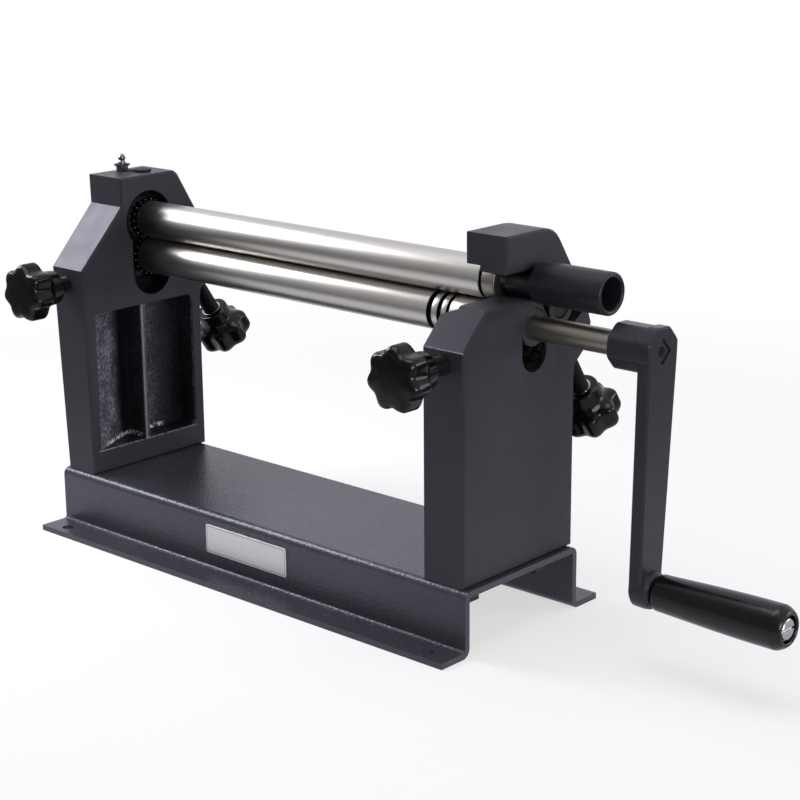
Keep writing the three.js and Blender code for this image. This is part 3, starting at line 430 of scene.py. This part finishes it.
def brushed_plate(name):
    """Satin aluminium sheet brushed along its length, with a dark line round the border."""
    f = Finish(name)
    brush = f.noise(1.0, 3, 0.6, f.stretched((40, 60, 5200)))
    lo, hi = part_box("name_plate")
    x, _, z = f.axes()
    past_end = (x - (lo.x + hi.x) / 2).math("ABSOLUTE") - (hi.x - lo.x) / 2
    past_top = (z - (lo.z + hi.z) / 2).math("ABSOLUTE") - (hi.z - lo.z) / 2
    border = past_end.math("MAXIMUM", past_top).within(-1.5 * MM, -1.1 * MM, 0.12 * MM)
    colour = f.tint(f.spread(brush, 0.3, 0.7), grey(0.50, 0.01), grey(0.66, 0.01))
    colour = f.tint(border, colour, grey(0.22))
    return f.done(Base_Color=colour, Metallic=1.0, Roughness=f.spread(brush, 0.3, 0.7, 0.30, 0.42),
                  Normal=f.relief(brush, 0.01 * MM, 0.5))


def gear_steel(name, axis_z, face):
    """Black gear, its tooth tips bright metal at the end that shows, partly worn and partly a
    painted glint.
    """
    f = Finish(name)
    x, y, z = f.axes()
    dy, dz = y - ROLL_Y, z - axis_z
    tip = ((dy * dy + dz * dz) ** 0.5).above(13.9 * MM, 0.15 * MM)
    # Tooth tips at the end that shows: painted glint and worn bright metal
    tip_glint_and_wear = tip * x.above(face - 0.7 * MM, 0.2 * MM)
    return f.done(Base_Color=f.tint(tip_glint_and_wear, grey(0.003), grey(0.7)), Metallic=tip_glint_and_wear,
                  Roughness=0.6 - tip_glint_and_wear * 0.3, Specular_IOR_Level=0.1)


COAT = powder_coat("base_powder_coat", 0.9)
ARM_COAT = powder_coat("crank_powder_coat", 0.05, 0.60, 0.26)
LEFT_CAST = cast_paint("left_cast_paint", LEFT_IN, -1, gear_recess)
RIGHT_CAST = cast_paint("right_cast_paint", RIGHT_IN, 1, bush_slot, 1.0, front_edge("right_frame"))
UPPER = ground_steel("upper_roll_steel", 0.54, (ROLL_Y, UP_Z), RIGHT_IN, 0.45)
LOWER = ground_steel("lower_roll_steel", 0.54, (ROLL_Y, LOW_Z), RIGHT_IN)
REAR = ground_steel("rear_roll_steel", 0.46, (REAR_Y, REAR_Z), RIGHT_IN, 0.10)
BUSH = dark_steel("turned_bush_steel", 0.022, 0.25, 0.45)
BLACKED = dark_steel("blackened_steel", 0.010, 0.34, 0.50)
SLEEVE = dark_steel("sleeve_black", 0.0095, 0.28, 0.40, 0.28)
THREAD = dark_steel("thread_black", 0.004, 0.30, 0.45, shine=0.12)
BRIGHT = plated("bright_plate")
NIPPLE = plated("nipple_zinc", 0.20)
PLASTIC = moulded("knob_black_plastic", 0.002, 0.12, 0.22, 0.22)
GRIP = moulded("grip_black_plastic", 0.002, 0.16, 0.26, 0.32)
RUBBER = rubber("cap_rubber")
PLATE = brushed_plate("bare_plate_aluminium")
LOW_GEAR = gear_steel("lower_gear_steel", LOW_Z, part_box("lower_gear")[1].x)
UP_GEAR = gear_steel("upper_gear_steel", UP_Z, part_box("upper_gear")[1].x)


# Surfaces worked out with numpy

def filleted(profile, radius, steps=4):
    """A polyline whose corners become short quadratic arcs: each corner point pulls a curve
    that starts and ends a fillet length away along its two sides."""
    p = np.asarray(profile, float)
    out = [p[0]]
    for before, at, after in zip(p[:-2], p[1:-1], p[2:]):
        a, b = before - at, after - at
        la, lb = np.linalg.norm(a), np.linalg.norm(b)
        cut = min(radius, la * 0.45, lb * 0.45)
        start, end = at + a / la * cut, at + b / lb * cut
        t = np.linspace(0, 1, steps)[:, None]
        out.extend(((1 - t) ** 2 * start + 2 * t * (1 - t) * at + t ** 2 * end))
    out.append(p[-1])
    return np.array(out)


def along(points):
    """Profile rows given in millimetres, as metres."""
    return np.asarray(points, float) * MM


def circle(count):
    """Even angles round a circle."""
    return np.arange(count) * 2 * np.pi / count


def basis(direction):
    """Two unit vectors square to a direction, and the direction."""
    d = np.array(direction, float)
    d /= np.linalg.norm(d)
    side = np.cross(d, [0, 0, 1]) if abs(d[2]) < 0.9 else np.cross(d, [1, 0, 0])
    side /= np.linalg.norm(side)
    return np.cross(side, d), side, d


def grid_mesh(name, points, loop=False, sharp=33):
    """A mesh from rings of points, rings first: quads between neighbours, each ring closed,
    the ends capped by a fan, or joined to each other when the profile is a loop."""
    m, n, _ = points.shape
    verts = points.reshape(-1, 3)
    ring = np.arange(m if loop else m - 1)[:, None] * n
    i = np.arange(n)[None, :]
    j = (i + 1) % n
    up = (ring + n) % (m * n)
    faces = np.stack([ring + i, ring + j, up + j, up + i], -1).reshape(-1, 4).tolist()
    if not loop:
        ends = np.stack([points[0].mean(0), points[-1].mean(0)])
        verts = np.concatenate([verts, ends])
        k = np.arange(n)
        nxt = (k + 1) % n
        low = np.stack([np.full(n, m * n), nxt, k], -1)
        high = np.stack([np.full(n, m * n + 1), (m - 1) * n + k, (m - 1) * n + nxt], -1)
        faces += low.tolist() + high.tolist()
    mesh = bpy.data.meshes.new(name)
    mesh.from_pydata(verts.tolist(), [], faces)
    mesh.update()
    mesh.shade_smooth()
    mesh.set_sharp_from_angle(angle=math.radians(sharp))
    return mesh


def turned(name, profile, origin, around, loop=False, sharp=33):
    """A surface of revolution about a line along X: profile rows are (distance along the axis,
    radius)."""
    u, v, d = basis((1, 0, 0))
    a = circle(around)
    p = np.asarray(profile, float)
    spin = np.cos(a)[:, None] * u + np.sin(a)[:, None] * v
    points = np.array(origin) + p[:, 0, None, None] * d + p[:, 1, None, None] * spin[None]
    return grid_mesh(name, points, loop, sharp)


def shown(name, mesh, body, material, slot, *nodes):
    """Puts a finished piece on its body, standing for the CAD nodes named. The slot is not used."""
    piece = bpy.data.objects.new(name, mesh)
    bpy.context.scene.collection.objects.link(piece)
    mesh.materials.clear()
    mesh.materials.append(material)
    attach(piece, body)
    if nodes:
        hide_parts(*nodes)
    return piece


MERGE = 2e-6
FLAT_ANGLE, EDGE_ANGLE = 0.6, 28


def eased(node, body, material, slot, width, segments=2):
    """The part's own solid with its edges softly broken: its loose triangles are merged into
    flat faces first, and a bevel rounds every edge sharper than the angle."""
    mesh = NODES[node].data.copy()
    mesh.name = node + "_eased"
    bm = bmesh.new()
    bm.from_mesh(mesh)
    bmesh.ops.remove_doubles(bm, verts=bm.verts, dist=MERGE)
    bmesh.ops.dissolve_limit(bm, angle_limit=math.radians(FLAT_ANGLE),
                             verts=bm.verts, edges=bm.edges)
    bm.to_mesh(mesh)
    bm.free()
    mesh.shade_smooth()
    piece = shown(node + "_eased", mesh, body, material, slot, node)
    bevel = piece.modifiers.new("broken_edges", "BEVEL")
    bevel.width = width
    bevel.segments = segments
    bevel.limit_method = "ANGLE"
    bevel.angle_limit = math.radians(EDGE_ANGLE)
    weigh = piece.modifiers.new("flat_faces", "WEIGHTED_NORMAL")
    weigh.weight = 100
    weigh.keep_sharp = True


# Frame, base and small fixed pieces
eased("base_channel", "frame", COAT, "paint", 0.45 * MM)
eased("left_frame", "frame", LEFT_CAST, "casting", 0.8 * MM, 3)
eased("right_frame", "frame", RIGHT_CAST, "casting", 0.8 * MM, 3)
eased("name_plate", "frame", PLATE, "plate_metal", 0.15 * MM)
eased("grease_nipple", "frame", NIPPLE, "bright_steel", 0.12 * MM)
eased("nipple_dust_cap", "frame", RUBBER, "black_rubber", 0.18 * MM)
for side in ("left", "right"):
    for end in ("front", "rear"):
        eased(f"frame_bolt_{side}_{end}", "frame", BLACKED, "dark_steel", 0.3 * MM)

# Bearings, wedges and gears
for node, body in (("lower_left_block", "lower_carriage"), ("rear_left_block", "rear_carriage"),
                   ("rear_right_block", "rear_carriage"), ("left_wedge", "wedges"),
                   ("right_wedge", "wedges")):
    eased(node, body, BLACKED, "dark_steel", 0.3 * MM)
for node, body in (("lower_right_bush", "lower_carriage"), ("rear_left_bush", "rear_carriage"),
                   ("rear_right_bush", "rear_carriage"), ("upper_left_rocker", "upper_carrier")):
    eased(node, body, BUSH, "bearing_steel", 0.25 * MM)
eased("upper_gear", "upper_roll_set", UP_GEAR, "dark_steel", 0.12 * MM, 1)
eased("lower_gear", "lower_roll_set", LOW_GEAR, "dark_steel", 0.12 * MM, 1)


# Rolls, in millimetres along X and from their axis

JOURNAL_R = 6
ROLL_GAP = 1.9
GEAR_GAP = 0.3
WIRE_GROOVES = ((39.3, 2.0), (31.2, 1.7), (24.4, 1.3))
CRANK_LEAN = 2.2
SQUARE_HALF = 5.4
SQUARE_CORNER = 7.45
BAR_SIDES, SQUARE_SIDES = 128, 96


def bar_start(roll, gear):
    """Where a geared roll starts, and its outline from the gear's inner face up to the bar."""
    start = mm(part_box(roll)[0].x)
    inner = mm(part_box(gear)[1].x) + GEAR_GAP
    return start, [(inner, JOURNAL_R), (inner, BAR_R - 0.6), (inner + 0.6, BAR_R)]


def roll_bar(roll, rows, radius, place, material):
    """A bar turned from its outline, which stands for one roll of the part."""
    profile = filleted(along(rows), radius * MM)
    mesh = turned(roll + "_bar", profile, (0, *place), BAR_SIDES)
    shown(roll + "_bar", mesh, roll + "_set", material, "roll_steel", roll)


def upper_roll():
    """The bar, a groove at the right frame's face, and the neck that the sleeve sits on."""
    start, bar = bar_start("upper_roll", "upper_gear")
    end, r_in, r_out = mm(RIGHT_IN) - ROLL_GAP, mm(RIGHT_IN), mm(RIGHT_OUT)
    groove, neck = 10.7, 5.5
    rows = [(start, 5.2), (start + 0.6, JOURNAL_R)] + bar + [
        (end - 0.4, BAR_R), (end, BAR_R - 0.4), (end, groove),
        (r_in + 0.2, groove), (r_in + 0.2, BAR_R - 0.4), (r_in + 0.6, BAR_R),
        (r_in + 9.7, BAR_R), (r_in + 10.1, BAR_R - 0.4), (r_in + 10.1, neck),
        (r_out + 15.4, neck), (r_out + 16, 4.9)]
    roll_bar("upper_roll", rows, 0.25, (ROLL_Y, UP_Z), UPPER)


def lower_roll():
    """The bar with its three wire grooves: each groove is half a circle cut into the outline."""
    start, bar = bar_start("lower_roll", "lower_gear")
    end = mm(RIGHT_IN) - ROLL_GAP
    shaft, shaft_r = mm(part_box("crank_arm")[0].x), 7.5
    rows = [(start, 5.4), (start + 0.6, JOURNAL_R)] + bar
    for back, width in WIRE_GROOVES:
        a = np.radians(np.linspace(180, 360, 13))
        rows += list(zip(end - back + width * np.cos(a), BAR_R + width * np.sin(a)))
    rows += [(end - 0.6, BAR_R), (end, BAR_R - 0.6), (end, shaft_r), (shaft + 1.8, shaft_r)]
    roll_bar("lower_roll", rows, 0.22, (ROLL_Y, LOW_Z), LOWER)


def crank_square():
    """The lower roll's square end in the crank: the radius is the nearer of a square's side and
    the shaft's round, and the last rings dish in as a centre hole."""
    a = circle(SQUARE_SIDES)
    turn = a - math.radians(CRANK_LEAN) + np.pi / 4
    side = SQUARE_HALF * MM / np.maximum(np.abs(np.cos(turn)), np.abs(np.sin(turn)))
    square = np.minimum(SQUARE_CORNER * MM, side)
    shaft, out = mm(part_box("crank_arm")[0].x), mm(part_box("lower_roll")[1].x)
    rings = [(shaft + 1, square), (out - 0.5, square), (out, square * 0.94)]
    centre_hole = ((out, 2.94), (out - 0.4, 2.8), (out - 3.2, 0.84))
    rings += [(t, np.full(len(a), r * MM)) for t, r in centre_hole]
    points = [np.stack([np.full(len(a), t * MM), ROLL_Y + r * np.sin(a), LOW_Z + r * np.cos(a)], -1)
              for t, r in rings]
    mesh = grid_mesh("crank_shaft_square", np.array(points)[:, ::-1])
    shown("crank_shaft_square", mesh, "lower_roll_set", BLACKED, "roll_steel")


def rear_roll():
    """The idler bar between two turned-down journals."""
    lo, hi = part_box("rear_roll")
    start, end = mm(lo.x), mm(hi.x)
    a, b = mm(LEFT_IN) + ROLL_GAP, mm(RIGHT_IN) - ROLL_GAP
    journal = 7.5
    rows = [(start, 6.7), (start + 0.8, journal), (a, journal), (a, BAR_R - 0.6), (a + 0.6, BAR_R),
            (b - 0.6, BAR_R), (b, BAR_R - 0.6), (b, journal), (end - 0.8, journal), (end, 6.7)]
    roll_bar("rear_roll", rows, 0.25, (REAR_Y, REAR_Z), REAR)


upper_roll()
lower_roll()
crank_square()
rear_roll()


# Release sleeve, in millimetres

NECK_R, TUBE_R = 7.4, 12.8
HOLE_R, BORE_R = 5.65, 9.7
TUBE_SIDES = 112


def release_sleeve():
    """Rings along the sleeve, each with a radius and a rise: the neck and its hole run on the
    roll's axis, and past the conical shoulder the tube and its bore run a little above it."""
    lo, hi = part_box("release_sleeve")
    start, end, out = mm(lo.x), mm(hi.x), mm(RIGHT_OUT)
    rise = mm(hi.z - UP_Z) - TUBE_R
    outer = [(start, NECK_R - 0.4, 0), (start + 0.4, NECK_R, 0), (out + 1.8, NECK_R, 0),
             (out + 5.2, TUBE_R, rise), (end - 0.9, TUBE_R, rise), (end, TUBE_R - 0.9, rise)]
    inner = [(end, BORE_R + 0.9, rise), (end - 0.9, BORE_R, rise), (out + 15, BORE_R, rise),
             (out + 13, BORE_R - 2, rise), (out + 13, HOLE_R, 0), (start, HOLE_R, 0)]
    ring = filleted(along(outer + inner + [outer[0]]), 0.9 * MM, 5)[:-1]
    a = circle(TUBE_SIDES)
    points = np.stack([np.broadcast_to(ring[:, 0, None], (len(ring), len(a))),
                       ROLL_Y + ring[:, 1, None] * np.sin(a)[None],
                       UP_Z + ring[:, 2, None] + ring[:, 1, None] * np.cos(a)[None]], -1)
    mesh = grid_mesh("release_sleeve_tube", points[:, ::-1], loop=True)
    shown("release_sleeve_tube", mesh, "sleeve", SLEEVE, "dark_steel", "release_sleeve")


release_sleeve()


# Crank

eased("crank_arm", "lower_roll_set", ARM_COAT, "paint", 0.6 * MM, 3)
eased("grip_spindle", "lower_roll_set", BRIGHT, "bright_steel", 0.15 * MM)

GRIP_ROOT_R = 11
SPINDLE_HOLE_R, HEAD_RECESS_R = 4.6, 7.9


def crank_grip():
    """A tapered handle: its radius swells toward the outer end as the rise of a sine, and its
    nose has a recess for the screw's head."""
    lo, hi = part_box("crank_grip")
    _, y, z = middle("crank_grip")
    start, end = mm(lo.x), mm(hi.x)
    half = mm(hi.z - lo.z) / 2
    t = np.linspace(0, 1, 40)
    rise = np.sin(np.clip(t * 1.08, 0, 1) * np.pi / 2) ** 1.15
    swell = GRIP_ROOT_R + (half - GRIP_ROOT_R) * rise
    body = list(zip(start + 0.9 + t * (end - start - 6.5), swell))
    nose = [(end - 3.2, half - 1.1), (end - 1.2, half - 2.4), (end, half - 3.7),
            (end - 0.7, HEAD_RECESS_R), (end - 4, HEAD_RECESS_R), (end - 4, SPINDLE_HOLE_R)]
    outline = [(start, SPINDLE_HOLE_R), (start, 10.2)] + body + nose
    smooth = filleted(along(outline + outline[:1]), 0.9 * MM)[:-1]
    mesh = turned("crank_grip_handle", smooth, (0, y, z), TUBE_SIDES, loop=True, sharp=40)
    shown("crank_grip_handle", mesh, "grip", GRIP, "black_plastic", "crank_grip")


crank_grip()


# Star knobs, their inserts and screws, in millimetres

LOBES, LOBE_HEIGHT = 7, 1.6
KNOB_SIDES = 28 * LOBES
# Distance from the hub's back, mean radius, and how much of the lobes shows
KNOB_ROWS = [
    [0.0, 7.3, 0], [0.0, 10.8, 0], [0.8, 11.6, 0], [9.0, 12.2, 0], [12.4, 14.2, 0.2],
    [14.3, 17.3, 0.85], [16.2, 18.3, 1], [26.3, 18.3, 1], [29.2, 16.8, 0.85], [30.0, 14.4, 0.6],
    [30.5, 8.0, 0.1], [30.6, 0.6, 0]]
PITCH = 1.75
THREAD_ROOT_R, RIDGE_HEIGHT, RUN_OUT = 5.0, 0.93, 1.2
THREAD_SIDES, ROWS_A_PITCH = 40, 8


def knob_turn(direction):
    """The knob's own sideways axes, so that its lobes stand where the solid's do."""
    q = Vector((0, 1, 0)).rotation_difference(Vector(direction))
    return np.array(q @ Vector((1, 0, 0))), np.array(q @ Vector((0, 0, -1)))


def knob_mesh(name, origin, direction):
    """A star knob: rings along its axis whose radius is a flared profile plus, over the head,
    a wave of seven lobes. The wave's height follows the profile's own blend."""
    rows = filleted(KNOB_ROWS, 1.2)
    a = circle(KNOB_SIDES)
    wave = LOBE_HEIGHT * rows[:, 2, None] * np.cos(LOBES * a)[None]
    radius = (rows[:, 1, None] + wave) * MM
    u, v = knob_turn(direction)
    spin = np.cos(a)[:, None] * u + np.sin(a)[:, None] * v
    centres = np.array(origin) + rows[:, 0, None, None] * MM * np.array(direction)
    return grid_mesh(name, centres + radius[:, :, None] * spin[None], sharp=50)


def thread_mesh(name, origin, direction, start, end):
    """A metric thread: along the axis the radius rises and falls as a rounded wave once a
    pitch, shifted round the axis so that the ridges climb as a helix."""
    t = np.arange(start, end, PITCH / ROWS_A_PITCH)
    a = circle(THREAD_SIDES)
    phase = (t[:, None] / PITCH - a[None] / (2 * np.pi)) % 1
    ridge = np.clip(1.25 - np.abs(phase * 2 - 1) * 1.5, 0, 1)
    ease = np.clip(np.minimum(t - start, end - t) / RUN_OUT, 0, 1)[:, None]
    radius = (THREAD_ROOT_R + RIDGE_HEIGHT * ridge * ease) * MM
    u, v, d = basis(direction)
    spin = np.cos(a)[:, None] * u + np.sin(a)[:, None] * v
    points = np.array(origin) + t[:, None, None] * MM * d + radius[:, :, None] * spin[None]
    return grid_mesh(name, points, sharp=60)


def knob_set(name, outward):
    """One adjuster: the knob starts at its insert's inner end, and the thread runs the length
    of the solid screw, both along the screw's axis."""
    axis_point = Vector(JOINTS[name + "_turn"]["pos_m"])
    reach = (corners(name + "_knob_insert") - np.array(axis_point)) @ np.array(outward)
    hub = axis_point + outward * float(reach.min() + 0.5 * MM)
    span = (corners(name + "_screw") - np.array(hub)) @ np.array(outward) / MM
    body = name + "_adjuster"
    knob = knob_mesh(name + "_star_knob", hub, outward)
    shown(name + "_star_knob", knob, body, PLASTIC, "black_plastic", name + "_knob")
    eased(name + "_knob_insert", body, BRIGHT, "bright_steel", 0.3 * MM)
    thread = thread_mesh(name + "_thread", hub, outward, float(span.min()), float(span.max()))
    shown(name + "_thread", thread, body, THREAD, "dark_steel", name + "_screw")


for side in ("left", "right"):
    knob_set(f"front_{side}", Vector((0, -1, 0)))
for side in ("left", "right"):
    knob_set(f"rear_{side}", DOWN_SCREW)


# Floor, background and lamps

WHITE = (1, 1, 1, 1)
SKY = (0.91, 0.92, 1.0, 1)
FLOOR_HALF = 6.0
FLOOR_MIDDLE_X = 90 * MM


def white_light(f, kind, glossy, dimmed):
    """White light that glossy rays see a little blue, taken toward black by a share."""
    return f.node(kind, {}, {0: f.tint(dimmed, f.tint(glossy, WHITE, SKY), grey(0)), 1: 1.0})


def studio_floor():
    """A white floor that keeps the object's shadow near it. Glossy rays see it a little blue,
    and dimmer far off and in front of the base's right end."""
    f = Finish("studio_floor")
    glossy, seen = f.rays()
    x, y, _ = f.axes()
    dx, dy = x - FLOOR_MIDDLE_X, y - MID_Y
    away = (dx * dx + dy * dy) ** 0.5
    front_right = x.above(60 * MM, 110 * MM) * dy.below(-85 * MM, 25 * MM) * away.below(0.30, 0.15)
    dimmed = glossy * (away.above(0.50, 0.30) * 0.8 + front_right * 0.5)
    matte = f.node("ShaderNodeBsdfDiffuse", {}, {"Color": (0.86, 0.86, 0.87, 1)})
    white = white_light(f, "ShaderNodeEmission", glossy, dimmed)
    share = seen * (away.above(0.62, 0.30) * 0.38 + 0.62)
    f.ends_in(f.node("ShaderNodeMixShader", {}, {0: share, 1: matte, 2: white}))
    s = FLOOR_HALF
    mesh = bpy.data.meshes.new("floor")
    mesh.from_pydata([(-s, -s, 0), (s, -s, 0), (s, s, 0), (-s, s, 0)], [], [(0, 1, 2, 3)])
    mesh.materials.append(f.owner)
    floor = bpy.data.objects.new("floor", mesh)
    bpy.context.scene.collection.objects.link(floor)


def studio_world():
    """White for the rays that show it, and a dim even light for the rest. Glossy rays see it a
    little blue, and dimmer toward the front."""
    f = Finish("studio", "worlds", "Generated")
    bpy.context.scene.world = f.owner
    glossy, seen = f.rays()
    _, to_back, _ = f.axes()
    front = f.node("ShaderNodeMapRange", {"interpolation_type": "SMOOTHSTEP"},
                   {0: to_back, 1: -0.65, 2: 0.0, 3: 0.62, 4: 0.0})
    dim = f.node("ShaderNodeBackground", {}, {0: WHITE, 1: 0.36})
    bright = white_light(f, "ShaderNodeBackground", glossy, front * glossy)
    both = f.node("ShaderNodeMixShader", {}, {0: seen, 1: dim, 2: bright})
    f.ends_in(both, "ShaderNodeOutputWorld")


def lamp(name, place, aim, size, power):
    """A soft rectangular lamp, its sides in metres and its power in watts. Its place and aim count
    from the base's middle line."""
    data = bpy.data.lights.new(name, "AREA")
    data.shape = "RECTANGLE"
    data.size, data.size_y = size
    data.energy = power
    data.color = (0.93, 0.94, 1.0)
    o = bpy.data.objects.new(name, data)
    bpy.context.scene.collection.objects.link(o)
    o.location = Vector(place) + Vector((0, MID_Y, 0))
    o.rotation_euler = (Vector(aim) - Vector(place)).to_track_quat("-Z", "Y").to_euler()


studio_floor()
studio_world()
lamp("key_left", (-0.50, -0.16, 0.52), (-0.18, 0, 0.16), (0.26, 0.34), 3.9)
lamp("overhead", (0.1, -0.1, 1.9), (0.05, 0, 0.1), (1.5, 1.0), 14)
lamp("fill_right", (1.50, -0.35, 0.30), (0.15, 0, 0.08), (0.6, 0.5), 8.0)
lamp("rim_right", (0.95, 0.75, 0.42), (0.15, 0, 0.15), (0.5, 0.4), 3.1)

view = bpy.context.scene.view_settings
view.view_transform = "Standard"
